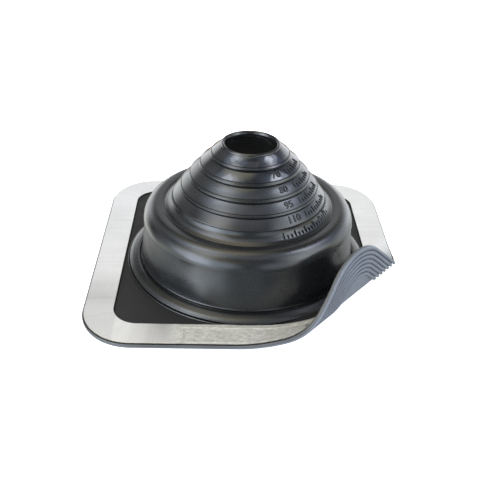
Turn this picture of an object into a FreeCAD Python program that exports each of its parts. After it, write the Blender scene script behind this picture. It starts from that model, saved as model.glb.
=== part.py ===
"""Pipe flashing boot: a square ribbed rubber flange with a hollow stepped cone,
stiffened by a soft aluminium strip on the flange. Millimetres, +Z up, the
flange lies on z = 0 and its front-right corner is curled upwards."""

import FreeCAD, Part
import math
import os

V = FreeCAD.Vector

# ---- flange -----------------------------------------------------------------
HALF = 100.0            # half the width of the square flange
CORNER_R = 32.0         # outer corner radius
RIB_H = 1.2             # height of the sealing ribs under the sheet
SHEET_TOP = 2.7         # top of the rubber sheet under the strip
FLANGE_T = 3.6          # top of the strip
RIM_TOP = 2.95          # top of the low rubber rim around the strip
RIM_W = 0.77            # rubber rim outside the strip
STRIP_IN = 18.6         # inner edge of the strip, from the flange edge
STRIP_IN_R = 15.3       # inner corner radius of the strip
RIB_COUNT = 7
RIB_FIRST = 0.45        # outer side of the first rib, from the flange edge
RIB_PITCH = 2.65
RIB_W = 1.45

# ---- curled corner: a bend about parallel lines, as tangent arcs --------------
BEND_PHI = math.radians(48.79)   # plan direction of the bend lines
BEND_V0 = 59.47                  # distance from the centre to the first line
BEND_ARCS = [(22.889, 54.27), (19.111, 17.724), (14.157, 81.32)]  # length, radius

# ---- boot -------------------------------------------------------------------
AXIS_Y = -3.5           # the boot stands slightly towards the front edge
BORE_R = 16.1
BORE_Z0 = 81.0          # straight land of the pipe hole
BORE_Z1 = 84.3

# (r, z) of the outside, from the rim of the hole down to the flare
OUTER_TOP = [
    (16.1, 84.3), (16.45, 85.15), (17.1, 85.6), (17.75, 85.55), (18.4, 84.95),
    (24.2, 80.0), (24.7, 79.75), (25.4, 78.95), (25.45, 78.5), (24.45, 77.75),
    (31.2, 73.3), (31.7, 72.8), (32.25, 71.55), (32.1, 71.0), (31.25, 70.55),
    (37.65, 65.8), (38.15, 65.3), (38.67, 64.1), (38.5, 63.6), (37.7, 62.95),
    (43.3, 58.3), (43.85, 57.8), (44.38, 57.0), (44.2, 56.5), (43.4, 56.0),
    (48.6, 50.7), (48.85, 50.25), (48.5, 49.7),
]
FLARE_MID = (50.75, 46.0)           # the flare is hollow
CREASE = (54.5, 43.3)              # valley between the flare and the bulge
SLOPE_MID = (56.6, 43.95)            # inner slope of the bulge
CREST = (58.9, 44.1)
SHOULDER = (65.37, 41.02)
WIDEST = (68.05, 33.6)
UNDER_MID = (67.85, 31.7)           # the bulge turns under to a waist
UNDER_END = (67.3, 30.1)
WALL_TOP = (67.25, 28.2)
WALL_MID = (69.05, 19.2)
WALL_FOOT = (70.75, 6.6)
BULGE_C = (58.0, 33.4)
HOLLOW_R = 7.4                      # inside radius of the bulge

# base roll, standing over the inner edge of the strip
ROLL = [(70.75, 6.6), (75.2, 7.05), (78.65, 4.75)]
ROLL_UNDER = [(78.65, 4.75), (78.45, 4.15), (77.9, 3.9)]
NECK_R = 77.35


# ---- helpers ----------------------------------------------------------------
AU = V(math.cos(BEND_PHI), math.sin(BEND_PHI), 0)      # along the bend lines
NV = V(math.sin(BEND_PHI), -math.cos(BEND_PHI), 0)     # across them, outwards


def chain():
    """Start point, direction and curvature of every stretch of the bend."""
    out = []
    n, h, th, s = BEND_V0, 0.0, 0.0, 0.0
    for length, radius in BEND_ARCS:
        out.append((s, n, h, th, 1.0 / radius, length))
        t2 = th + length / radius
        n += radius * (math.sin(t2) - math.sin(th))
        h -= radius * (math.cos(t2) - math.cos(th))
        th, s = t2, s + length
    out.append((s, n, h, th, 0.0, 40.0))
    return out


CHAIN = chain()


def section(s):
    """(n, h, angle) of the reference line at the distance s past the first line."""
    pick = CHAIN[0]
    for c in CHAIN:
        if s >= c[0] - 1e-12:
            pick = c
    s0, n, h, th, k, _ = pick
    d = s - s0
    if k == 0.0:
        return n + d * math.cos(th), h + d * math.sin(th), th
    t2 = th + k * d
    return n + (math.sin(t2) - math.sin(th)) / k, h - (math.cos(t2) - math.cos(th)) / k, t2


def bent(u, v, off):
    s = v - BEND_V0
    if s <= 0:
        n, h, th = v, 0.0, 0.0
    else:
        n, h, th = section(s)
    n2 = n - off * math.sin(th)
    z = h + off * math.cos(th)
    return AU * u + NV * n2 + V(0, 0, z)


def uv(x, y):
    return x * AU.x + y * AU.y, x * NV.x + y * NV.y


def rounded_square(half, r, z0, z1):
    h, c = half, half - r
    pts = [V(-c, -h, z0), V(c, -h, z0), V(h, -c, z0), V(h, c, z0),
           V(c, h, z0), V(-c, h, z0), V(-h, c, z0), V(-h, -c, z0)]
    q = r * math.sqrt(0.5)
    mids = [V(c + q, -c - q, z0), V(c + q, c + q, z0), V(-c - q, c + q, z0), V(-c - q, -c - q, z0)]
    edges = []
    for i in range(4):
        edges.append(Part.makeLine(pts[2 * i], pts[2 * i + 1]))
        edges.append(Part.Arc(pts[2 * i + 1], mids[i], pts[(2 * i + 2) % 8]).toShape())
    return Part.Face(Part.Wire(edges)).extrude(V(0, 0, z1 - z0))


def square_at(d):
    """Half width and corner radius of the outline d inside the flange edge."""
    if d >= STRIP_IN - 1e-9:
        return HALF - d, STRIP_IN_R
    return HALF - d, CORNER_R + (STRIP_IN_R - CORNER_R) * d / STRIP_IN


def slab_bent(off0, off1):
    """The whole curled stretch between two offsets, wider than the flange."""
    def line(off):
        out = []
        for s0, n, h, th, k, length in CHAIN:
            a, m, b = (bent(0, BEND_V0 + s0 + length * f, off) for f in (0.0, 0.5, 1.0))
            out.append(Part.makeLine(a, b) if k == 0.0 else Part.Arc(a, m, b).toShape())
        return out
    low, high = line(off0), line(off1)
    first = Part.makeLine(bent(0, BEND_V0, off1), bent(0, BEND_V0, off0))
    s_end = CHAIN[-1][0] + CHAIN[-1][5]
    last = Part.makeLine(bent(0, BEND_V0 + s_end, off0), bent(0, BEND_V0 + s_end, off1))
    wire = Part.Wire([first] + low + [last] + high[::-1])
    face = Part.Face(wire)
    face.translate(AU * -170.0)
    return face.extrude(AU * 340.0)


def outline_runs(d):
    """Plan runs of the outline that lie past the first bend line, split where
    the bend changes radius and where the corner arc starts and ends."""
    h, r = square_at(d)
    c = h - r
    marks = [BEND_V0 + s[0] for s in CHAIN]

    def front(x):
        return x, -h

    def side(y):
        return h, y

    def arc(t):
        return c + r * math.sin(t), -c - r * math.cos(t)

    def cross(fn, lo, hi, v):
        a, b = uv(*fn(lo))[1], uv(*fn(hi))[1]
        return lo + (v - a) * (hi - lo) / (b - a)

    x0 = cross(front, -h, h, BEND_V0)
    xs = [x0] + [cross(front, -h, h, m) for m in marks[1:] if uv(*front(c))[1] > m + 1e-6] + [c]
    y0 = cross(side, -h, h, BEND_V0)
    ys = [-c] + [cross(side, -h, h, m) for m in marks[:0:-1] if uv(*side(-c))[1] > m + 1e-6] + [y0]
    # marks crossed inside the corner arc
    ts = [0.0]
    for m in marks[1:]:
        for lo, hi in ((0.0, BEND_TOP_T), (BEND_TOP_T, math.pi / 2)):
            fa, fb = uv(*arc(lo))[1] - m, uv(*arc(hi))[1] - m
            if fa * fb < -1e-9:
                a, b = lo, hi
                for _ in range(60):
                    g = (a + b) / 2
                    if (uv(*arc(g))[1] - m) * fa > 0:
                        a = g
                    else:
                        b = g
                ts.append((a + b) / 2)
    ts = sorted(ts) + [math.pi / 2]
    runs = [(front, a, b) for a, b in zip(xs[:-1], xs[1:])]
    runs += [(arc, a, b) for a, b in zip(ts[:-1], ts[1:])]
    runs += [(side, a, b) for a, b in zip(ys[:-1], ys[1:])]
    return runs


BEND_TOP_T = math.atan2(NV.x, -NV.y)


def wall(d, off0, off1):
    """The side face of the curled stretch along the outline d, as ruled faces."""
    faces = []
    for fn, a, b in outline_runs(d):
        count = 9
        par = [i / (count - 1.0) for i in range(count)]
        edges = []
        for off in (off0, off1):
            pts = [bent(*uv(*fn(a + (b - a) * t)), off) for t in par]
            curve = Part.BSplineCurve()
            curve.interpolate(Points=pts, Parameters=par)
            edges.append(curve.toShape())
        faces.append(Part.makeRuledSurface(edges[0], edges[1]))
    return Part.makeShell(faces)


def probe(d, off):
    """A point of the curled corner d inside the flange edge."""
    h, r = square_at(d)
    c = h - r
    x, y = c + r * math.sin(BEND_TOP_T), -c - r * math.cos(BEND_TOP_T)
    return bent(*uv(x, y), off)


def piece_at(pieces, point):
    for p in pieces:
        if p.isInside(point, 1e-6, False):
            return p
    raise RuntimeError("no piece at %s" % (point,))


def split(slab, walls):
    result, _ = slab.generalFuse(walls)
    return result.Solids


def flat_half():
    """Everything on the flat side of the first bend line."""
    face = Part.Face(Part.makePolygon([
        AU * -250 + NV * -250, AU * 250 + NV * -250,
        AU * 250 + NV * BEND_V0, AU * -250 + NV * BEND_V0, AU * -250 + NV * -250]))
    face.translate(V(0, 0, -20))
    return face.extrude(V(0, 0, 60))


def rib_edges():
    out = []
    for i in range(RIB_COUNT):
        a = RIB_FIRST + i * RIB_PITCH
        out.append((a, a + RIB_W))
    return out


def flange():
    ribs = rib_edges()
    walls_d = [x for pair in ribs for x in pair]
    # flat stretch
    half = flat_half()
    body = rounded_square(HALF, CORNER_R, 0, RIM_TOP)
    h, r = square_at(RIM_W)
    body = body.cut(rounded_square(h, r, SHEET_TOP, FLANGE_T + 5))
    gaps = [0.0] + walls_d
    outer = rounded_square(HALF + 5, CORNER_R + 5, -5, RIB_H)
    for i in range(0, len(gaps), 2):
        h, r = square_at(gaps[i])
        if i:
            outer = rounded_square(h, r, -5, RIB_H)
        if i + 1 < len(gaps):
            h2, r2 = square_at(gaps[i + 1])
            body = body.cut(outer.cut(rounded_square(h2, r2, -6, RIB_H + 1)))
        else:
            body = body.cut(outer)
    h, r = square_at(RIM_W)
    metal = rounded_square(h, r, SHEET_TOP, FLANGE_T)
    h, r = square_at(STRIP_IN)
    metal = metal.cut(rounded_square(h, r, 0, 10))
    flat_rubber, flat_metal = body.common(half), metal.common(half)

    # curled stretch
    w0 = wall(0.0, -2.0, 5.0)
    w_rim = wall(RIM_W, 2.0, 5.0)
    w_in = wall(STRIP_IN, 2.0, 5.0)
    sheet = piece_at(split(slab_bent(0.0, SHEET_TOP), [w0]), probe(3.0, 1.5))
    rim = piece_at(split(slab_bent(SHEET_TOP, RIM_TOP), [w0, w_rim]), probe(RIM_W / 2, (SHEET_TOP + RIM_TOP) / 2))
    curled_metal = piece_at(split(slab_bent(SHEET_TOP, FLANGE_T), [w_rim, w_in]), probe(9.0, 3.1))
    groove_pieces = split(slab_bent(-1.0, RIB_H), [wall(d, -2.0, 3.0) for d in walls_d])
    curled_rubber = sheet.fuse(rim)
    for i in range(0, len(gaps), 2):
        if i + 1 < len(gaps):
            where = probe((gaps[i] + gaps[i + 1]) / 2, 0.6)
        else:
            where = probe(gaps[i] + 1.0, 0.6)
        curled_rubber = curled_rubber.cut(piece_at(groove_pieces, where))
    rubber = flat_rubber.fuse(curled_rubber)
    metal = flat_metal.fuse(curled_metal)
    return rubber, metal


def below_bend():
    """Everything under the ribs of the curled stretch, near the boot."""
    s_end = 30.0
    pts = [bent(0, BEND_V0, 0.0)]
    edges = []
    a, m, b = bent(0, BEND_V0, 0.0), bent(0, BEND_V0 + 11.4, 0.0), bent(0, BEND_V0 + 22.8, 0.0)
    edges.append(Part.Arc(a, m, b).toShape())
    c = V(b.x, b.y, -8)
    d = V(a.x, a.y, -8)
    edges += [Part.makeLine(b, c), Part.makeLine(c, d), Part.makeLine(d, a)]
    face = Part.Face(Part.Wire(edges))
    face.translate(AU * -120)
    return face.extrude(AU * 240)


def revolve(edges):
    face = Part.Face(Part.Wire(edges))
    body = face.revolve(V(0, 0, 0), V(0, 0, 1), 360)
    body.translate(V(0, AXIS_Y, 0))
    return body


def rz(p):
    return V(p[0], 0, p[1])


def poly(points):
    return [Part.makeLine(rz(a), rz(b)) for a, b in zip(points[:-1], points[1:])]


def arc3(a, b, c):
    return Part.Arc(rz(a), rz(b), rz(c)).toShape()


def on_hollow(angle):
    return (BULGE_C[0] + HOLLOW_R * math.cos(angle), BULGE_C[1] + HOLLOW_R * math.sin(angle))


def boot():
    edges = poly(OUTER_TOP)
    edges.append(arc3(OUTER_TOP[-1], FLARE_MID, CREASE))
    edges.append(arc3(CREASE, SLOPE_MID, CREST))
    edges.append(arc3(CREST, SHOULDER, WIDEST))
    edges.append(arc3(WIDEST, UNDER_MID, UNDER_END))
    edges += poly([UNDER_END, WALL_TOP, WALL_MID, WALL_FOOT])
    edges.append(arc3(*ROLL))
    edges.append(arc3(*ROLL_UNDER))
    b1, b0 = math.radians(-10), math.radians(110)
    edges += poly([ROLL_UNDER[-1], (NECK_R, 3.85), (NECK_R, RIB_H), (75.0, RIB_H), (75.0, 3.5),
                   (73.9, 4.3), (71.3, 4.0), (69.6, 4.1), (68.2, 6.4), on_hollow(b1)])
    edges.append(arc3(on_hollow(b1), on_hollow((b0 + b1) / 2), on_hollow(b0)))
    edges += poly([on_hollow(b0), (52.4, 39.2), (49.4, 40.6), (46.9, 45.2), (41.4, 53.5), (35.6, 60.5),
                   (29.0, 68.2), (21.9, 76.0), (BORE_R, BORE_Z0), (BORE_R, BORE_Z1)])
    return revolve(edges)


def cylinder(r, z0, z1):
    c = Part.makeCylinder(r, z1 - z0, V(0, AXIS_Y, z0))
    return c


def build():
    rubber_flange, metal = flange()
    rubber_flange = rubber_flange.cut(cylinder(75.9, -5, 12))
    rubber = rubber_flange.fuse(boot().cut(below_bend()))
    return {"rubber_boot": rubber, "aluminium_frame": metal}


os.makedirs("parts", exist_ok=True)
for name, shape in build().items():
    if shape.ShapeType != "Solid" and len(shape.Solids) == 1:
        shape = shape.Solids[0]
    print(name, shape.ShapeType, shape.isValid(), len(shape.Solids), len(shape.Faces), round(shape.Volume, 1))
    shape.exportStep("parts/%s.step" % name)
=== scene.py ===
import bpy
import bmesh
import math
from mathutils import Vector, Matrix, noise


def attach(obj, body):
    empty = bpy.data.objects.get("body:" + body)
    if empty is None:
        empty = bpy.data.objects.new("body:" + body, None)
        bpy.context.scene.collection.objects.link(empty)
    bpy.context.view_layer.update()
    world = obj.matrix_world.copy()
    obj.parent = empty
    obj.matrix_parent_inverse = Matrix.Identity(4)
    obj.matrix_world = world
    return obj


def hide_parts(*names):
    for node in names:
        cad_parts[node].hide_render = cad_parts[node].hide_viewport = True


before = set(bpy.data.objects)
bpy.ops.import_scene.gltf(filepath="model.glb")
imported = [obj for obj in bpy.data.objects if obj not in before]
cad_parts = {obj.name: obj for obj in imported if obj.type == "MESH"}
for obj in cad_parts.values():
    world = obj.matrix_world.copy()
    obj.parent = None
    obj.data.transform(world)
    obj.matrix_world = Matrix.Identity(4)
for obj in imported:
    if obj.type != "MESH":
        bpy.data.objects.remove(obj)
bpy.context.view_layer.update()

MM = 0.001
COL = bpy.context.scene.collection

# --------------------------------------------------------------------------
# shape of the flange and of its curled corner (millimetres, as in the model)
# --------------------------------------------------------------------------
HALF, CORNER_R = 100.0, 32.0
RIB_H, SHEET_TOP, FLANGE_T = 1.2, 2.7, 3.6
RIM_W, STRIP_IN, STRIP_IN_R = 0.77, 18.6, 15.3
RIB_COUNT, RIB_FIRST, RIB_PITCH, RIB_W = 7, 0.45, 2.65, 1.45
PHI, V0 = math.radians(48.79), 59.47
ARCS = [(22.889, 54.27), (19.111, 17.724), (14.157, 81.32)]
AXIS_Y = -3.5
AX, AY = math.cos(PHI), math.sin(PHI)
NX, NY = math.sin(PHI), -math.cos(PHI)


def chain():
    out = []
    n, h, th, s = V0, 0.0, 0.0, 0.0
    for length, radius in ARCS:
        out.append((s, n, h, th, 1.0 / radius))
        t2 = th + length / radius
        n += radius * (math.sin(t2) - math.sin(th))
        h -= radius * (math.cos(t2) - math.cos(th))
        th, s = t2, s + length
    out.append((s, n, h, th, 0.0))
    return out


CHAIN = chain()


def section(s):
    pick = CHAIN[0]
    for c in CHAIN:
        if s >= c[0]:
            pick = c
    s0, n, h, th, k = pick
    d = s - s0
    if k == 0.0:
        return n + d * math.cos(th), h + d * math.sin(th), th
    t2 = th + k * d
    return n + (math.sin(t2) - math.sin(th)) / k, h - (math.cos(t2) - math.cos(th)) / k, t2


def bent(x, y, off):
    """Flat plan point at a height above the rib tips -> its place, in mm."""
    u, v = x * AX + y * AY, x * NX + y * NY
    s = v - V0
    if s <= 0:
        return (x, y, off)
    n, h, th = section(s)
    n2 = n - off * math.sin(th)
    return (AX * u + NX * n2, AY * u + NY * n2, h + off * math.cos(th))


def lift(x, y):
    """How far the sheet has risen at a plan point close to the boot."""
    s = x * NX + y * NY - V0
    return 0.0 if s <= 0 else section(min(s, 24.0))[1]


def square_at(d):
    if d >= STRIP_IN:
        return HALF - d, max(STRIP_IN_R - (d - STRIP_IN), 6.0)
    return HALF - d, CORNER_R + (STRIP_IN_R - CORNER_R) * d / STRIP_IN


# stations round the flange: (kind, fraction); finer where the sheet bends
def stations(front_n, right_n, other_n, arc_n, bent_arc_n):
    st = []
    for k, n in (("front", front_n), ("fr", bent_arc_n), ("right", right_n), ("br", arc_n),
                 ("back", other_n), ("bl", arc_n), ("left", other_n), ("fl", arc_n)):
        st += [(k, i / n) for i in range(n)]
    return st


def plan(station, d):
    kind, f = station
    h, r = square_at(d)
    c = h - r
    if kind == "front":
        return -c + 2 * c * f, -h
    if kind == "right":
        return h, -c + 2 * c * f
    if kind == "back":
        return c - 2 * c * f, h
    if kind == "left":
        return -h, c - 2 * c * f
    t = f * math.pi / 2
    if kind == "fr":
        return c + r * math.sin(t), -c - r * math.cos(t)
    if kind == "br":
        return c + r * math.cos(t), c + r * math.sin(t)
    if kind == "bl":
        return -c - r * math.sin(t), c + r * math.cos(t)
    return -c - r * math.cos(t), -c - r * math.sin(t)


# --------------------------------------------------------------------------
# mesh helpers
# --------------------------------------------------------------------------
def orient(me, weld):
    """Join doubled points and turn a closed mesh the right way out."""
    bm = bmesh.new()
    bm.from_mesh(me)
    if weld:
        bmesh.ops.remove_doubles(bm, verts=bm.verts[:], dist=2e-6)
    if bm.calc_volume(signed=True) < 0:
        bmesh.ops.reverse_faces(bm, faces=bm.faces[:])
    bm.to_mesh(me)
    bm.free()


def make_object(name, verts, faces, mats, slots=None, uvs=None, smooth=True, scale=MM):
    me = bpy.data.meshes.new(name)
    me.from_pydata([(v[0] * scale, v[1] * scale, v[2] * scale) for v in verts], [], faces)
    for m in mats:
        me.materials.append(m)
    if slots:
        me.polygons.foreach_set("material_index", slots)
    if uvs:
        layer = me.uv_layers.new(name="strip")
        flat = []
        for poly in me.polygons:
            for li in poly.loop_indices:
                flat.append((li, uvs[me.loops[li].vertex_index]))
        for li, uv in flat:
            layer.data[li].uv = uv
    if smooth:
        me.polygons.foreach_set("use_smooth", [True] * len(me.polygons))
    me.validate()
    if len(me.polygons) > 1:
        orient(me, weld=not uvs and not slots)
    me.update()
    ob = bpy.data.objects.new(name, me)
    COL.objects.link(ob)
    return ob


def ring_faces(rows, cols, closed_rows=True, closed_cols=False, flip=False, base=0):
    faces = []
    for i in range(rows if closed_rows else rows - 1):
        i2 = (i + 1) % rows
        for j in range(cols if closed_cols else cols - 1):
            j2 = (j + 1) % cols
            f = (base + i * cols + j, base + i2 * cols + j, base + i2 * cols + j2, base + i * cols + j2)
            faces.append(f[::-1] if flip else f)
    return faces


def fillet(points, seg_deg=9.0):
    """Polyline (r, z, radius) -> smooth list of (r, z)."""
    out = []
    n = len(points)
    for i, (x, z, rad) in enumerate(points):
        if rad <= 0 or i in (0, n - 1):
            out.append((x, z))
            continue
        ax, az = points[i - 1][0] - x, points[i - 1][1] - z
        bx, bz = points[i + 1][0] - x, points[i + 1][1] - z
        la, lb = math.hypot(ax, az), math.hypot(bx, bz)
        ax, az, bx, bz = ax / la, az / la, bx / lb, bz / lb
        dot = max(-1.0, min(1.0, ax * bx + az * bz))
        ang = math.acos(dot)
        if ang > math.pi - 1e-3:
            out.append((x, z))
            continue
        t = min(rad / math.tan(ang / 2), la * 0.48, lb * 0.48)
        rr = t * math.tan(ang / 2)
        mx, mz = ax + bx, az + bz
        lm = math.hypot(mx, mz)
        cx, cz = x + mx / lm * rr / math.sin(ang / 2), z + mz / lm * rr / math.sin(ang / 2)
        s0 = math.atan2(z + az * t - cz, x + ax * t - cx)
        s1 = math.atan2(z + bz * t - cz, x + bx * t - cx)
        ds = (s1 - s0 + math.pi) % (2 * math.pi) - math.pi
        k = max(2, int(abs(math.degrees(ds)) / seg_deg) + 1)
        out += [(cx + rr * math.cos(s0 + ds * q / k), cz + rr * math.sin(s0 + ds * q / k)) for q in range(k + 1)]
    return out


def arc_points(c, r, a0, a1, n):
    return [(c[0] + r * math.cos(a0 + (a1 - a0) * i / n), c[1] + r * math.sin(a0 + (a1 - a0) * i / n)) for i in range(n + 1)]


# --------------------------------------------------------------------------
# materials
# --------------------------------------------------------------------------
def new_material(name):
    m = bpy.data.materials.new(name)
    m.use_nodes = True
    nt = m.node_tree
    bsdf = nt.nodes["Principled BSDF"]
    return m, nt, bsdf


def node(nt, kind, **props):
    n = nt.nodes.new(kind)
    for k, v in props.items():
        setattr(n, k, v)
    return n


def ramp(nt, fac, stops):
    r = node(nt, "ShaderNodeValToRGB")
    els = r.color_ramp.elements
    while len(els) > len(stops):
        els.remove(els[-1])
    while len(els) < len(stops):
        els.new(0.5)
    for e, (p, c) in zip(els, stops):
        e.position = p
        e.color = c if len(c) == 4 else (*c, 1.0)
    nt.links.new(fac, r.inputs["Fac"])
    return r


def grey(v):
    return (v, v, v, 1.0)


def noise_tex(nt, coord, scale, detail=4.0, rough=0.55, stretch=None):
    src = coord
    if stretch:
        mp = node(nt, "ShaderNodeMapping")
        mp.inputs["Scale"].default_value = stretch
        nt.links.new(coord, mp.inputs["Vector"])
        src = mp.outputs["Vector"]
    t = node(nt, "ShaderNodeTexNoise")
    t.inputs["Scale"].default_value = scale
    t.inputs["Detail"].default_value = detail
    t.inputs["Roughness"].default_value = rough
    nt.links.new(src, t.inputs["Vector"])
    return t


def bump(nt, bsdf, layers):
    """layers: (height socket, strength, distance)"""
    last = None
    for sock, strength, dist in layers:
        b = node(nt, "ShaderNodeBump")
        b.inputs["Strength"].default_value = strength
        b.inputs["Distance"].default_value = dist
        nt.links.new(sock, b.inputs["Height"])
        if last:
            nt.links.new(last.outputs["Normal"], b.inputs["Normal"])
        last = b
    nt.links.new(last.outputs["Normal"], bsdf.inputs["Normal"])


def rubber(name, dark, light, rough0, rough1, spec=0.5, grain=0.10):
    """Moulded EPDM: slight bloom in the colour, fine grain, soft waviness."""
    m, nt, b = new_material(name)
    tc = node(nt, "ShaderNodeTexCoord")
    co = tc.outputs["Object"]
    cloud = noise_tex(nt, co, 34.0, 5.0, 0.6)
    col = ramp(nt, cloud.outputs["Fac"], [(0.30, dark), (0.72, light)])
    nt.links.new(col.outputs["Color"], b.inputs["Base Color"])
    smear = noise_tex(nt, co, 90.0, 4.0, 0.6, stretch=(1.0, 1.0, 3.0))
    ro = ramp(nt, smear.outputs["Fac"], [(0.30, grey(rough0)), (0.70, grey(rough1))])
    nt.links.new(ro.outputs["Color"], b.inputs["Roughness"])
    b.inputs["Specular IOR Level"].default_value = spec
    fine = noise_tex(nt, co, 2600.0, 2.0, 0.5)
    soft = noise_tex(nt, co, 60.0, 2.0, 0.5)
    bump(nt, b, [(soft.outputs["Fac"], 0.10, 0.0006), (fine.outputs["Fac"], grain, 0.00008)])
    return m, nt, b, co


M_BOOT, nt, b, co = rubber("epdm moulded", (0.0050, 0.0053, 0.0056), (0.0085, 0.0090, 0.0095), 0.22, 0.29)
M_COLLAR, nt, b, co = rubber("epdm polished collar", (0.0055, 0.0058, 0.0066), (0.0085, 0.0090, 0.0100), 0.10, 0.13, grain=0.02)
M_FIELD, nt, b, co = rubber("epdm matte field", (0.0045, 0.0045, 0.0042), (0.0080, 0.0080, 0.0075), 0.55, 0.68, spec=0.30, grain=0.25)
# a lighter, bluish copy of the rubber for the underside and the rib faces
M_UNDER, nt, b, co = rubber("epdm lighter bluish underside", (0.082, 0.094, 0.115), (0.116, 0.130, 0.156), 0.50, 0.62, grain=0.15)
M_INSIDE, nt, b, co = rubber("epdm inside face", (0.0110, 0.0113, 0.0113), (0.0160, 0.0164, 0.0164), 0.55, 0.65, spec=0.25, grain=0.20)
# a lighter grey copy of the rubber for the rim's top and outer side
M_EDGE, nt, b, co = rubber("epdm lighter grey rim", (0.040, 0.041, 0.043), (0.075, 0.077, 0.080), 0.45, 0.58, grain=0.2)
M_MARK, nt, b, co = rubber("epdm raised marks", (0.0040, 0.0042, 0.0046), (0.0070, 0.0073, 0.0078), 0.42, 0.52, spec=0.35, grain=0.06)
M_MARK_L, nt, b, co = rubber("epdm raised scale", (0.020, 0.021, 0.023), (0.034, 0.036, 0.039), 0.20, 0.26, grain=0.04)


def aluminium():
    m, nt, b = new_material("aluminium strip")
    uv = node(nt, "ShaderNodeUVMap", uv_map="strip").outputs["UV"]      # metres: along, across
    tc = node(nt, "ShaderNodeTexCoord")
    co = tc.outputs["Object"]
    b.inputs["Metallic"].default_value = 1.0
    b.inputs["Specular IOR Level"].default_value = 0.5
    # brushing runs along the strip; faint roll bars run across it
    brush = noise_tex(nt, uv, 1.0, 6.0, 0.65, stretch=(60.0, 2600.0, 1.0))
    bars = noise_tex(nt, uv, 1.0, 3.0, 0.6, stretch=(260.0, 6.0, 1.0))
    cloud = noise_tex(nt, co, 26.0, 4.0, 0.6)
    base = ramp(nt, cloud.outputs["Fac"], [(0.25, (0.85, 0.85, 0.845)), (0.75, (0.95, 0.95, 0.945))])
    sep = node(nt, "ShaderNodeSeparateXYZ")
    nt.links.new(co, sep.inputs["Vector"])

    def span(sock, lo, hi):
        r = node(nt, "ShaderNodeMapRange")
        r.inputs["From Min"].default_value = lo
        r.inputs["From Max"].default_value = hi
        nt.links.new(sock, r.inputs["Value"])
        return r.outputs["Result"]

    def times(a_, b_):
        t = node(nt, "ShaderNodeMath", operation="MULTIPLY")
        nt.links.new(a_, t.inputs[0])
        nt.links.new(b_, t.inputs[1])
        return t.outputs["Value"]

    # pressed panel on the front run: duller, warmer and mottled
    front = span(sep.outputs["Y"], -0.0790, -0.0800)
    panel = times(span(sep.outputs["X"], -0.050, -0.040), front)
    # a darker band across the front run just before the panel, and darker bands along the left run: the colour is
    # darkened by position
    front_dark_band = ramp(nt, span(sep.outputs["X"], -0.070, -0.036), [(0.0, grey(1.0)), (0.38, grey(0.80)), (0.72, grey(0.84)), (1.0, grey(1.0))])
    left = span(sep.outputs["X"], -0.0785, -0.0800)
    left_dark_bands = ramp(nt, span(sep.outputs["Y"], -0.090, -0.026), [(0.0, grey(0.90)), (0.22, grey(0.88)), (0.40, grey(0.86)), (0.52, grey(0.74)),
                                                            (0.62, grey(0.84)), (0.72, grey(0.86)), (0.84, grey(0.95)), (1.0, grey(1.0))])
    dark = ramp(nt, bars.outputs["Fac"], [(0.35, grey(0.78)), (0.62, grey(1.0))])
    mul = node(nt, "ShaderNodeMixRGB", blend_type="MULTIPLY")
    mul.inputs["Fac"].default_value = 0.25
    nt.links.new(base.outputs["Color"], mul.inputs["Color1"])
    nt.links.new(dark.outputs["Color"], mul.inputs["Color2"])
    mul2 = node(nt, "ShaderNodeMixRGB", blend_type="MULTIPLY")
    mul2.inputs["Fac"].default_value = 0.25
    bru = ramp(nt, brush.outputs["Fac"], [(0.30, grey(0.72)), (0.65, grey(1.0))])
    nt.links.new(mul.outputs["Color"], mul2.inputs["Color1"])
    nt.links.new(bru.outputs["Color"], mul2.inputs["Color2"])
    last = mul2.outputs["Color"]
    # multiply the darker bands into the colour, by position
    for fac, colour in ((front, front_dark_band.outputs["Color"]), (left, left_dark_bands.outputs["Color"])):
        mx = node(nt, "ShaderNodeMixRGB", blend_type="MULTIPLY")
        nt.links.new(fac, mx.inputs["Fac"])
        nt.links.new(last, mx.inputs["Color1"])
        nt.links.new(colour, mx.inputs["Color2"])
        last = mx.outputs["Color"]
    mottle = noise_tex(nt, co, 420.0, 4.0, 0.65, stretch=(1.0, 1.6, 1.0))
    pan = ramp(nt, mottle.outputs["Fac"], [(0.34, (0.36, 0.345, 0.300)), (0.52, (0.47, 0.455, 0.410)), (0.68, (0.60, 0.585, 0.535))])
    mx = node(nt, "ShaderNodeMixRGB")
    nt.links.new(panel, mx.inputs["Fac"])
    nt.links.new(last, mx.inputs["Color1"])
    nt.links.new(pan.outputs["Color"], mx.inputs["Color2"])
    nt.links.new(mx.outputs["Color"], b.inputs["Base Color"])
    ro = ramp(nt, brush.outputs["Fac"], [(0.30, grey(0.42)), (0.70, grey(0.30))])
    mr_ = node(nt, "ShaderNodeMixRGB")
    mr_.inputs["Color2"].default_value = (0.62, 0.62, 0.62, 1)
    nt.links.new(panel, mr_.inputs["Fac"])
    nt.links.new(ro.outputs["Color"], mr_.inputs["Color1"])
    nt.links.new(mr_.outputs["Color"], b.inputs["Roughness"])
    met = node(nt, "ShaderNodeMapRange")
    met.inputs["To Min"].default_value = 1.0
    met.inputs["To Max"].default_value = 0.72
    nt.links.new(panel, met.inputs["Value"])
    nt.links.new(met.outputs["Result"], b.inputs["Metallic"])
    wave = noise_tex(nt, uv, 1.0, 2.0, 0.5, stretch=(45.0, 30.0, 1.0))
    bump(nt, b, [(wave.outputs["Fac"], 0.16, 0.0005), (brush.outputs["Fac"], 0.12, 0.00006)])
    return m


M_METAL = aluminium()


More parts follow.
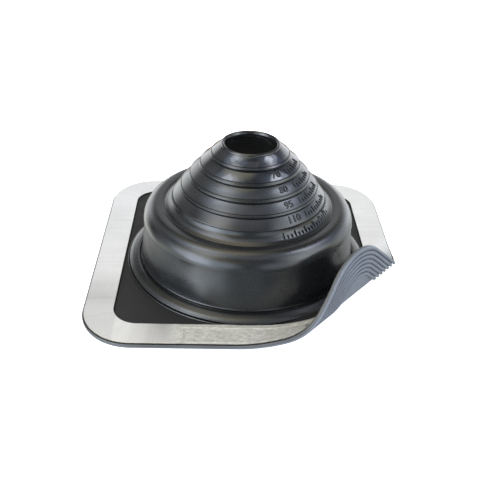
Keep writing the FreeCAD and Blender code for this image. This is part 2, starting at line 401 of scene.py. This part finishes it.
def sheared_edge():
    """The cut edge of the strip: duller, slightly warm, with fine drag lines; its near-black colour is painted shade,
    as if the side were in shadow.
    """
    m, nt, b = new_material("aluminium cut edge painted shade")
    co = node(nt, "ShaderNodeTexCoord").outputs["Object"]
    b.inputs["Metallic"].default_value = 1.0
    lines = noise_tex(nt, co, 900.0, 3.0, 0.6, stretch=(1.0, 1.0, 0.15))
    # painted shade: the side faces of the strip are coloured near-black
    col = ramp(nt, lines.outputs["Fac"], [(0.30, (0.060, 0.057, 0.050)), (0.70, (0.120, 0.115, 0.100))])
    nt.links.new(col.outputs["Color"], b.inputs["Base Color"])
    ro = ramp(nt, lines.outputs["Fac"], [(0.30, grey(0.62)), (0.70, grey(0.48))])
    nt.links.new(ro.outputs["Color"], b.inputs["Roughness"])
    bump(nt, b, [(lines.outputs["Fac"], 0.2, 0.00006)])
    return m


M_CUT_PAINTED_SHADE = sheared_edge()

# --------------------------------------------------------------------------
# the boot: a hollow body of revolution
# --------------------------------------------------------------------------
BULGE_C, BULGE_A, BULGE_B, BULGE_E = (58.9, 33.6), 9.15, 10.5, 1.0


def step_edge(end, lip, start, bead=0.14):
    """Points from the end of one slope over a notch and a small rolled lip,
    in under the lip, and out to the start of the next slope."""
    tx, tz = lip[0] - end[0], lip[1] - end[1]
    ln = math.hypot(tx, tz)
    tx, tz = tx / ln, tz / ln
    nx, nz = -tz, tx
    return [
        (end[0], end[1], 0.08),
        (end[0] + tx * 0.26 - nx * 0.46, end[1] + tz * 0.26 - nz * 0.46, 0.06),
        (end[0] + tx * 0.55 + nx * bead, end[1] + tz * 0.55 + nz * bead, 0.22),
        (lip[0] + nx * bead * 0.4, lip[1] + nz * bead * 0.4, 0.42),
        (lip[0] - 0.16, lip[1] - 0.52, 0.20),
        (lip[0] - 1.30, lip[1] - 0.84, 0.15),
        (start[0] - 1.10, start[1] - 0.40, 0.15),
        (start[0], start[1], 0.16),
    ]


def outer_profile():
    top = [(16.1, 80.8, 0), (16.1, 83.9, 0.5), (16.6, 85.2, 0.5), (17.6, 85.6, 0.55), (18.5, 85.1, 0.4), (18.62, 84.35, 0.1), (19.05, 84.15, 0.3)]
    top += step_edge((24.2, 80.0), (25.48, 78.69), (24.95, 77.3), 0.10)
    top += step_edge((31.2, 73.25), (32.27, 71.4), (31.8, 70.15))
    top += step_edge((37.65, 65.75), (38.69, 63.99), (38.2, 62.5))
    top += step_edge((43.3, 58.25), (44.39, 56.92), (43.95, 55.5))
    top += [(48.55, 50.75, 0.3), (48.85, 50.2, 0.3), (48.45, 49.65, 0.15)]
    pts = fillet(top + [(48.7, 47.9, 0)])[:-1]
    # hollow flare down to the crease
    p0, p1, p2 = pts[-1], (49.1, 45.0), (53.7, 43.6)
    for i in range(1, 17):
        t = i / 16.0
        pts.append(((1 - t) ** 2 * p0[0] + 2 * t * (1 - t) * p1[0] + t * t * p2[0],
                    (1 - t) ** 2 * p0[1] + 2 * t * (1 - t) * p1[1] + t * t * p2[1]))
    # soft crease, then the inner slope of the bulge up to its crest
    valley = fillet([(53.7, 43.6, 0), (54.5, 43.2, 0.8), (56.4, 43.95, 2.0), (BULGE_C[0], BULGE_C[1] + BULGE_B, 0)], 5.0)
    pts += valley[1:]
    for i in range(1, 49):
        a = math.radians(90.0 - 90.0 * i / 48.0)
        pts.append((BULGE_C[0] + BULGE_A * math.cos(a) ** BULGE_E, BULGE_C[1] + BULGE_B * math.sin(a) ** BULGE_E))
    # the bulge turns under a little and runs smoothly into the wall
    q0, q1 = pts[-1], (69.05, 19.2)
    d0 = (-0.75, -14.0)
    d1 = (1.45, -14.5)
    for i in range(1, 23):
        t = i / 22.0
        h00, h10 = 2 * t ** 3 - 3 * t ** 2 + 1, t ** 3 - 2 * t ** 2 + t
        h01, h11 = -2 * t ** 3 + 3 * t ** 2, t ** 3 - t ** 2
        pts.append((h00 * q0[0] + h10 * d0[0] + h01 * q1[0] + h11 * d1[0],
                    h00 * q0[1] + h10 * d0[1] + h01 * q1[1] + h11 * d1[1]))
    pts.append((70.1, 9.2))
    # small lip at the wall's foot, groove, sloping ring and its lower edge
    foot = [(*pts[-1], 0), (70.18, 8.5, 0.6), (70.42, 8.12, 0.3), (70.48, 7.6, 0.25), (70.35, 7.22, 0.15), (70.02, 7.05, 0.15),
            (69.98, 6.2, 0.25), (71.0, 6.15, 0.25), (71.75, 7.0, 0.6), (73.2, 7.05, 1.6), (76.5, 6.0, 3.2), (78.3, 4.95, 1.8),
            (78.65, 4.25, 0.5), (78.45, 3.82, 0.2), (77.8, 3.70, 0.15), (77.35, 3.4, 0.2), (77.35, 1.2, 0)]
    pts += fillet(foot, 7.0)[1:]
    return pts


def inner_profile():
    inner_r = 7.4
    b1, b0 = math.radians(-10.0), math.radians(110.0)

    def on(a):
        return (BULGE_C[0] + inner_r * math.cos(a), BULGE_C[1] + inner_r * math.sin(a))
    low = fillet([(77.35, 1.2, 0), (75.0, 1.2, 0.3), (75.0, 3.5, 0.6), (73.9, 4.3, 0.6), (71.3, 4.0, 0.8), (69.6, 4.1, 0.8), (68.2, 6.4, 1.0), (*on(b1), 0)])[1:]
    arc = arc_points(BULGE_C, inner_r, b1, b0, 24)[1:]
    up = fillet([(*arc[-1], 0), (52.4, 39.2, 2.0), (49.4, 40.6, 2.5), (46.9, 45.2, 3.0), (41.4, 53.5, 3.0), (35.6, 60.5, 3.0), (29.0, 68.2, 3.0),
                 (21.9, 76.0, 2.5), (16.1, 80.8, 0)])[1:-1]
    return low + arc + up


def revolve(name, profile, mats, slot_of, segs=216, closed=True, start=0.0):
    verts, slots = [], []
    for i in range(segs):
        a = 2 * math.pi * i / segs + start
        ca, sa = math.cos(a), math.sin(a)
        for r, z in profile:
            x, y = r * sa, AXIS_Y - r * ca
            if z < 9.0:
                w = max(0.0, min(1.0, (8.6 - z) / 7.4))
                z = z + lift(x, y) * w * w * (3 - 2 * w)
            verts.append((x, y, z))
    cols = len(profile)
    faces = ring_faces(segs, cols, True, closed, flip=False)
    for i in range(segs):
        for j in range(cols if closed else cols - 1):
            slots.append(slot_of(j))
    return make_object(name, verts, faces, mats, slots)




def thin(points, tol):
    """Leave out profile points that add nothing to the shape."""
    out = [points[0]]
    i = 0
    while i < len(points) - 1:
        j = i + 1
        while j + 1 < len(points):
            (x0, z0), (x1, z1) = points[i], points[j + 1]
            ln = math.hypot(x1 - x0, z1 - z0)
            if ln > 1.6 or ln < 1e-9:
                break
            if max(abs((x1 - x0) * (z0 - q[1]) - (x0 - q[0]) * (z1 - z0)) / ln for q in points[i + 1:j + 1]) > tol:
                break
            j += 1
        out.append(points[j])
        i = j
    return out


outer, inner = thin(outer_profile(), 0.0035), thin(inner_profile(), 0.006)
profile = outer + inner
n_out = len(outer)


def boot_slot(j):
    if j >= n_out - 1:
        return 2
    return 1 if profile[j][1] > 76.4 and j > 0 else 0


boot = revolve("boot_cone", profile, [M_BOOT, M_COLLAR, M_INSIDE], boot_slot)

# --------------------------------------------------------------------------
# the rubber flange: rim, sealing ribs and sheet, with the corner curled
# --------------------------------------------------------------------------
ST = stations(110, 110, 26, 18, 44)


def rubber_section():
    """(d, off, slot) once round the section, from the top of the inner field."""
    s = [(19.4, 2.70, 1), (18.66, 2.70, 1), (18.64, 2.45, 1)]
    s += [(d, 2.45, 1) for d in (14.0, 9.0, 4.5)]
    s += [(0.80, 2.45, 1), (0.78, 2.12, 1), (0.70, 2.10, 2), (0.64, 2.50, 2), (0.54, 2.72, 2), (0.36, 2.80, 2), (0.17, 2.74, 2), (0.05, 2.58, 2), (0.0, 2.36, 2),
          (0.0, 2.1, 2), (0.0, 1.8, 2), (0.0, 1.5, 2), (0.03, 1.36, 2), (0.10, 1.27, 2), (0.16, 1.22, 0)]
    for i in range(RIB_COUNT):
        d0 = RIB_FIRST - 0.22 + i * RIB_PITCH
        w = RIB_W + 0.50
        for dd, off in ((0.0, 1.06), (0.02, 0.72), (0.09, 0.42), (0.24, 0.18), (0.46, 0.045), (0.72, 0.0), (w / 2, 0.0), (w - 0.72, 0.0), (w - 0.46, 0.045),
                        (w - 0.24, 0.18), (w - 0.09, 0.42), (w - 0.02, 0.72), (w, 1.06)):
            s.append((d0 + dd, off, 0))
        s.append((d0 + w + 0.12, 1.2, 0))
        if i < RIB_COUNT - 1:
            s.append((d0 + RIB_PITCH - 0.12, 1.2, 0))
    s += [(18.7, 1.2, 0), (19.4, 1.2, 0)]
    return s


def build_flange():
    sec = rubber_section()
    inner_steps = 14
    verts, faces, slots = [], [], []
    cols = len(sec) + 2 * inner_steps
    for st in ST:
        qx, qy = plan(st, 19.4)
        a = math.atan2(qx, -(qy - AXIS_Y))
        ring = []
        for (rr, off) in ((76.6, 2.70), (76.2, 1.2)):
            cx, cy = rr * math.sin(a), AXIS_Y - rr * math.cos(a)
            line = []
            for k in range(inner_steps):
                t = k / inner_steps
                t = t * t * (3 - 2 * t) * 0.4 + t * 0.6
                line.append((cx + (qx - cx) * t, cy + (qy - cy) * t, off))
            ring.append(line)
        row = [bent(*p) for p in ring[0]]
        for d, off, _ in sec:
            x, y = plan(st, d)
            row.append(bent(x, y, off))
        row += [bent(*p) for p in ring[1][::-1]]
        verts += row
    rows = len(ST)
    faces = ring_faces(rows, cols, True, True)
    for i in range(rows):
        for j in range(cols):
            if j < inner_steps:
                slots.append(1)
            elif j < inner_steps + len(sec):
                slots.append(sec[j - inner_steps][2])
            elif j == cols - 1:
                slots.append(1)
            else:
                slots.append(0)
    return make_object("flange_sheet", verts, faces, [M_UNDER, M_FIELD, M_EDGE], slots)


flange = build_flange()

# --------------------------------------------------------------------------
# a thin moulded bead where the boot meets the sheet
# --------------------------------------------------------------------------


def build_bead():
    segs, ring = 360, 14
    verts = []
    for i in range(segs):
        a = 2 * math.pi * i / segs
        sx, sy = math.sin(a), -math.cos(a)
        # distance from the boot's axis to the strip's inner edge, this way
        h, r = square_at(STRIP_IN)
        lim = 200.0
        if sy < 0:
            lim = min(lim, (h + AXIS_Y) / -sy)
        if sy > 0:
            lim = min(lim, (h - AXIS_Y) / sy)
        if abs(sx) > 1e-6:
            lim = min(lim, h / abs(sx))
        rb = min(79.30, lim - 0.72)
        for k in range(ring):
            t = 2 * math.pi * k / ring
            rr = rb + 0.56 * math.cos(t)
            z = 2.95 + 0.62 * math.sin(t)
            x, y = rr * sx, AXIS_Y + rr * sy
            verts.append((x, y, z + lift(x, y)))
    return make_object("foot_bead", verts, ring_faces(segs, ring, True, True, flip=True), [M_BOOT])


bead = build_bead()

# --------------------------------------------------------------------------
# the aluminium strip
# --------------------------------------------------------------------------
ST_M = stations(300, 130, 40, 22, 44)
PANEL_X, PANEL_D = (-38.5, 38.0), (2.75, 15.7)


def emboss(x, y, d):
    """Height of the raised border of the plain panel on the front strip, and
    the slight hollow inside it."""
    if y > -60 or abs(x) > 60:
        return 0.0
    ex = min(x - PANEL_X[0], PANEL_X[1] - x)
    ed = min(d - PANEL_D[0], PANEL_D[1] - d)
    inside = min(ex, ed)
    ridge = math.exp(-(inside / 0.42) ** 2) if inside > -1.5 else 0.0
    dish = 0.10 / (1 + math.exp(-(inside - 1.2) / 0.25))
    return 0.20 * ridge - dish


def build_strip():
    lo, hi = RIM_W + 0.06, STRIP_IN - 0.04
    n_across = 40
    sec = [(lo, 2.60), (lo, 3.38)]
    sec += [(lo + 0.05, 3.53), (lo + 0.16, 3.595)]
    for i in range(1, n_across):
        sec.append((lo + 0.16 + (hi - lo - 0.32) * i / n_across, 3.6))
    sec += [(hi - 0.16, 3.595), (hi - 0.05, 3.53), (hi, 3.38), (hi, 2.60)]
    verts, uvs = [], []
    run = 0.0
    last = None
    for st in ST_M:
        cx, cy = plan(st, 9.3)
        if last:
            run += math.hypot(cx - last[0], cy - last[1])
        last = (cx, cy)
        for d, off in sec:
            x, y = plan(st, d)
            o = off
            if off > 3.5:
                o += emboss(x, y, d)
                o += 0.05 * noise.noise(Vector((x * 0.05, y * 0.05, 1.7)))
                o = min(o, 3.86)
            verts.append(bent(x, y, o))
            uvs.append((run * MM, d * MM))
    faces = ring_faces(len(ST_M), len(sec), True, True)
    last_top = len(sec) - 4
    slots = [0 if 3 <= j <= last_top else 1 for _ in range(len(ST_M)) for j in range(len(sec))]
    return make_object("metal_strip", verts, faces, [M_METAL, M_CUT_PAINTED_SHADE], slots, uvs)


strip = build_strip()

# --------------------------------------------------------------------------
# raised pipe sizes and plain scale marks on the steps
# --------------------------------------------------------------------------
BANDS = {
    1: ((24.95, 77.3), (31.2, 73.25)),
    2: ((31.8, 70.15), (37.65, 65.75)),
    3: ((38.2, 62.5), (43.3, 58.25)),
    4: ((43.95, 55.5), (48.55, 50.75)),
    5: ((49.0, 48.0), (52.4, 44.3)),
}


def on_cone(band, az, up, h):
    """az degrees to the right of the front, up mm above the middle of the
    band's slope, h mm proud of it."""
    (r0, z0), (r1, z1) = band
    dr, dz = r1 - r0, z1 - z0
    ln = math.hypot(dr, dz)
    dr, dz = dr / ln, dz / ln
    r = (r0 + r1) / 2 - dr * up - dz * h
    z = (z0 + z1) / 2 - dz * up + dr * h
    a = math.radians(az)
    return (r * math.sin(a), AXIS_Y - r * math.cos(a), z)


def number(text, band, az, size, shift=0.0, proud=0.50):
    cu = bpy.data.curves.new("size_%s" % text, "FONT")
    cu.body = text
    cu.size = size
    cu.extrude = 0.5
    cu.bevel_depth = 0.10
    cu.bevel_resolution = 1
    cu.offset = 0.0
    cu.resolution_u = 5
    cu.space_character = 1.04
    cu.align_x = "LEFT"
    cu.align_y = "CENTER"
    tmp = bpy.data.objects.new("tmp_text", cu)
    COL.objects.link(tmp)
    bpy.context.view_layer.update()
    deps = bpy.context.evaluated_depsgraph_get()
    me = bpy.data.meshes.new_from_object(tmp.evaluated_get(deps))
    (r0, z0), (r1, z1) = band
    rm = (r0 + r1) / 2
    verts = [v.co.copy() for v in me.vertices]
    out = []
    for v in verts:
        h = -0.30 if v.z < 0 else (proud - 0.16 if v.z < 0.55 else proud)
        out.append(on_cone(band, az + math.degrees(v.x / rm), v.y + shift, h))
    faces = [tuple(p.vertices) for p in me.polygons]
    bpy.data.objects.remove(tmp)
    bpy.data.curves.remove(cu)
    bpy.data.meshes.remove(me)
    ob = make_object("size_%s" % text, out, faces, [M_MARK], smooth=False)
    return ob


def ticks(name, band, marks, proud=0.42, width=0.62, mat=None):
    verts, faces = [], []
    for az, lo, hi in marks:
        rm = (band[0][0] + band[1][0]) / 2
        da = math.degrees(width / 2 / rm)
        b = len(verts)
        for h in (-0.25, proud):
            verts += [on_cone(band, az - da, lo, h), on_cone(band, az + da, lo, h), on_cone(band, az + da, hi, h), on_cone(band, az - da, hi, h)]
        faces += [(b + 4, b + 5, b + 6, b + 7), (b, b + 1, b + 5, b + 4), (b + 1, b + 2, b + 6, b + 5),
                  (b + 2, b + 3, b + 7, b + 6), (b + 3, b, b + 4, b + 7), (b + 3, b + 2, b + 1, b)]
    return make_object(name, verts, faces, [mat or M_MARK], smooth=False)


marks = [
    number("70", BANDS[1], 25.5, 6.3),
    number("80", BANDS[2], 29.5, 6.0),
    number("95", BANDS[3], 30.0, 6.3),
    number("110", BANDS[4], 29.0, 6.5),
    ticks("scale_1", BANDS[1], [(49 + 5.6 * i, -1.9, 1.9 if i % 3 == 0 else 0.5) for i in range(7)]),
    ticks("scale_2", BANDS[2], [(50 + 4.6 * i, -1.9, 1.9 if i % 3 == 0 else 0.5) for i in range(8)]),
    ticks("scale_3", BANDS[3], [(47.5 + 3.8 * i, -2.0, 2.0 if i % 3 == 0 else 0.5) for i in range(10)]),
    ticks("scale_4", BANDS[4], [(47.5 + 3.3 * i, -2.0, 2.0 if i % 3 == 0 else 0.5) for i in range(11)]),
    ticks("scale_5", BANDS[5], [(24.0 + 3.1 * i, -1.7, 1.7 if i % 3 == 0 else 0.3) for i in range(17)], proud=0.45, mat=M_MARK_L),
]

# --------------------------------------------------------------------------
# riding, and the stand-ins hidden
# --------------------------------------------------------------------------
for ob in [boot, flange, bead] + marks:
    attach(ob, "root")
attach(strip, "root")
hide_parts("rubber_boot")
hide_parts("rubber_boot")
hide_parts("aluminium_frame")

# --------------------------------------------------------------------------
# floor, light, camera
# --------------------------------------------------------------------------
M_FLOOR, nt, b = new_material("floor")
b.inputs["Base Color"].default_value = (0.60, 0.60, 0.60, 1)
b.inputs["Emission Color"].default_value = (1.0, 1.0, 1.0, 1)
b.inputs["Emission Strength"].default_value = 0.92
b.inputs["Roughness"].default_value = 0.9
b.inputs["Specular IOR Level"].default_value = 0.1
floor = make_object("floor", [(-6, -6, -0.0001), (6, -6, -0.0001), (6, 6, -0.0001), (-6, 6, -0.0001)], [(0, 1, 2, 3)], [M_FLOOR], smooth=False, scale=1.0)
floor.visible_glossy = False
floor.visible_shadow = False


def area(name, loc, target, size, power, color=(1, 1, 1), spread=180.0):
    li = bpy.data.lights.new(name, "AREA")
    li.shape = "RECTANGLE"
    li.size, li.size_y = size
    li.energy = power
    li.color = color
    li.spread = math.radians(spread)
    ob = bpy.data.objects.new(name, li)
    COL.objects.link(ob)
    ob.location = loc
    d = Vector(target) - Vector(loc)
    ob.rotation_euler = d.to_track_quat("-Z", "Y").to_euler()
    return ob


def aim(az, el):
    """Unit vector, az degrees to the right of the front, el degrees up."""
    a, e = math.radians(az), math.radians(el)
    return Vector((math.sin(a) * math.cos(e), -math.cos(a) * math.cos(e), math.sin(e)))


def softbox(name, az, el, dist, size, radiance, color):
    power = radiance * math.pi * size[0] * size[1]
    return area(name, Vector((0, 0, 0.05)) + aim(az, el) * dist, (0, 0, 0.05), size, power, color)


softbox("box_1", -50, -8, 1.0, (0.42, 0.4), 4.270, (0.77, 0.87, 1.00))
softbox("box_2", -50, 18, 1.0, (0.42, 0.45), 3.706, (0.76, 0.90, 1.00))
softbox("box_3", -50, 45, 1.0, (0.42, 0.45), 3.002, (1.00, 0.97, 0.87))
softbox("box_4", -75, 10, 1.0, (0.4, 0.6), 0.854, (0.76, 1.00, 0.96))
softbox("box_5", 60, 22, 1.0, (0.3, 0.45), 1.606, (0.77, 0.88, 1.00))
softbox("box_6", 82, 26, 1.0, (0.3, 0.45), 2.146, (1.00, 1.00, 0.94))
softbox("box_7", 82, 50, 1.0, (0.3, 0.4), 3.930, (0.85, 0.91, 1.00))
softbox("box_8", -75, 60, 1.0, (0.8, 0.7), 0.950, (0.43, 0.66, 1.00))
softbox("box_9", 0, 60, 1.0, (0.6, 0.4), 1.124, (0.85, 0.86, 1.00))
softbox("box_10", -82, 59, 1.0, (0.2, 0.26), 5.190, (0.77, 0.84, 1.00))
softbox("box_11", -66, 66, 1.0, (0.2, 0.2), 2.241, (0.84, 0.88, 1.00))
softbox("box_12", 88, 54, 1.0, (0.22, 0.26), 7.070, (0.84, 0.88, 1.00))
softbox("box_13", 76, 61, 1.0, (0.2, 0.2), 0.609, (0.10, 0.45, 1.00))
softbox("box_14", 103, 46, 1.0, (0.22, 0.25), 4.669, (0.75, 0.81, 1.00))

world = bpy.data.worlds.new("studio")
bpy.context.scene.world = world
world.use_nodes = True
wn = world.node_tree
bg = wn.nodes["Background"]
tc = wn.nodes.new("ShaderNodeTexCoord")

# broad soft light, as lobes round the object: az, el, inner, outer, colour
LOBES = [
    (-180, -28, 3, 26, (0.65, 0.51, 0.34)),
    (-135, -28, 3, 26, (1.90, 1.93, 1.82)),
    (-90, -28, 3, 26, (1.66, 1.88, 1.67)),
    (-45, -28, 3, 26, (2.66, 2.97, 3.24)),
    (0, -28, 3, 26, (0.51, 0.60, 0.65)),
    (135, -28, 3, 26, (0.98, 1.04, 1.03)),
    (-150, 3, 3, 26, (2.67, 2.75, 2.80)),
    (-90, 3, 3, 26, (0.61, 0.61, 0.73)),
    (-60, 3, 3, 26, (4.72, 5.04, 5.90)),
    (-30, 3, 3, 26, (2.96, 3.47, 4.02)),
    (30, 3, 3, 26, (1.58, 1.79, 2.01)),
    (60, 3, 3, 26, (2.12, 2.09, 2.03)),
    (90, 3, 3, 26, (1.25, 1.27, 1.00)),
    (120, 3, 3, 26, (1.86, 1.98, 2.10)),
    (150, 3, 3, 26, (2.44, 2.51, 2.64)),
    (-180, 30, 3, 26, (0.92, 0.95, 1.00)),
    (-120, 30, 3, 26, (0.52, 0.52, 0.50)),
    (-60, 30, 3, 26, (1.47, 1.35, 1.14)),
    (-30, 30, 3, 26, (0.65, 0.48, 0.10)),
    (0, 30, 3, 26, (0.23, 0.23, 0.23)),
    (60, 30, 3, 26, (3.12, 3.37, 3.41)),
    (90, 30, 3, 26, (0.56, 0.72, 1.17)),
    (120, 30, 3, 26, (0.50, 0.56, 0.70)),
    (150, 30, 3, 26, (0.12, 0.11, 0.06)),
    (-180, 55, 3, 26, (0.39, 0.35, 0.29)),
    (-108, 55, 3, 26, (0.37, 0.38, 0.42)),
    (-72, 55, 3, 26, (2.12, 2.21, 2.42)),
    (72, 55, 3, 26, (0.97, 1.06, 1.34)),
    (-120, 76, 3, 26, (2.44, 2.08, 1.18)),
    (0, 90, 3, 20, (0.45, 0.58, 0.73)),
]
BASE = (0.0, 0.0, 0.0)
total = None
for az, el, inner, outer, colr in LOBES:
    dot = wn.nodes.new("ShaderNodeVectorMath")
    dot.operation = "DOT_PRODUCT"
    dot.inputs[1].default_value = aim(az, el)
    wn.links.new(tc.outputs["Generated"], dot.inputs[0])
    mr = wn.nodes.new("ShaderNodeMapRange")
    mr.interpolation_type = "SMOOTHSTEP"
    mr.inputs["From Min"].default_value = math.cos(math.radians(outer))
    mr.inputs["From Max"].default_value = math.cos(math.radians(inner))
    wn.links.new(dot.outputs["Value"], mr.inputs["Value"])
    sc = wn.nodes.new("ShaderNodeVectorMath")
    sc.operation = "SCALE"
    sc.inputs[0].default_value = colr
    wn.links.new(mr.outputs["Result"], sc.inputs["Scale"])
    if total is None:
        total = wn.nodes.new("ShaderNodeVectorMath")
        total.operation = "ADD"
        total.inputs[0].default_value = BASE
        wn.links.new(sc.outputs["Vector"], total.inputs[1])
    else:
        nxt = wn.nodes.new("ShaderNodeVectorMath")
        nxt.operation = "ADD"
        wn.links.new(total.outputs["Vector"], nxt.inputs[0])
        wn.links.new(sc.outputs["Vector"], nxt.inputs[1])
        total = nxt
wn.links.new(total.outputs["Vector"], bg.inputs["Color"])
bg.inputs["Strength"].default_value = 1.0

bpy.context.scene.view_settings.view_transform = "Standard"

cam_data = bpy.data.cameras.new("camera")
cam = bpy.data.objects.new("camera", cam_data)
COL.objects.link(cam)
yaw, pitch, roll = math.radians(1.776), math.radians(32.221), math.radians(2.017)
fwd = Vector((math.sin(yaw) * math.cos(pitch), math.cos(yaw) * math.cos(pitch), -math.sin(pitch)))
right = Vector((math.cos(yaw), -math.sin(yaw), 0.0))
up = right.cross(fwd)
r2 = math.cos(roll) * right + math.sin(roll) * up
u2 = -math.sin(roll) * right + math.cos(roll) * up
rot = Matrix((r2, u2, -fwd)).transposed()
cam.matrix_world = Matrix.Translation(Vector((-0.01736, -0.41463, 0.27281))) @ rot.to_4x4()
cam_data.sensor_width = 36.0
cam_data.lens = 721.73 / 480.0 * 36.0
cam_data.clip_start = 0.01
bpy.context.scene.camera = cam
